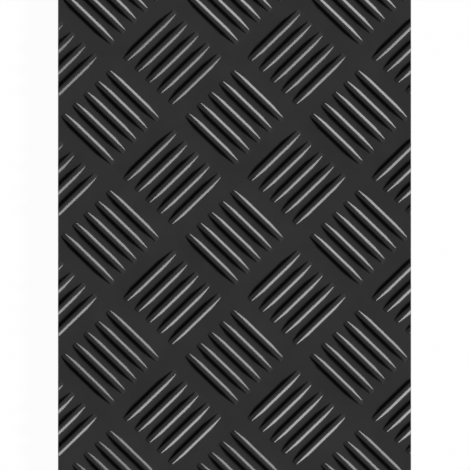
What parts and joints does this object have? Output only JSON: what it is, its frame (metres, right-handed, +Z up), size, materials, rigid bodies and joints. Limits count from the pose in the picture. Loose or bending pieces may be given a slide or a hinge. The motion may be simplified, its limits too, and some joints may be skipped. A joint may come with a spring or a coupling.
{
  "type": "checker steel plate",
  "caption": "Flat strip of hot-rolled steel plate with a raised tread pattern of bars in groups that lie by turns along either diagonal, for floors, steps and ramps.",
  "frame": {"origin": "middle of the plate's flat underside", "axes": "+X across the strip, +Y along it, +Z up out of the tread face"},
  "size_m": [0.15, 0.3, 0.0058],
  "materials": {
    "mill_scale_steel": "dark grey as-rolled steel, satin, with a thin even skin of mill scale"
  },
  "bodies": {
    "root": {"checker_plate": "mill_scale_steel"}
  },
  "joints": []
}
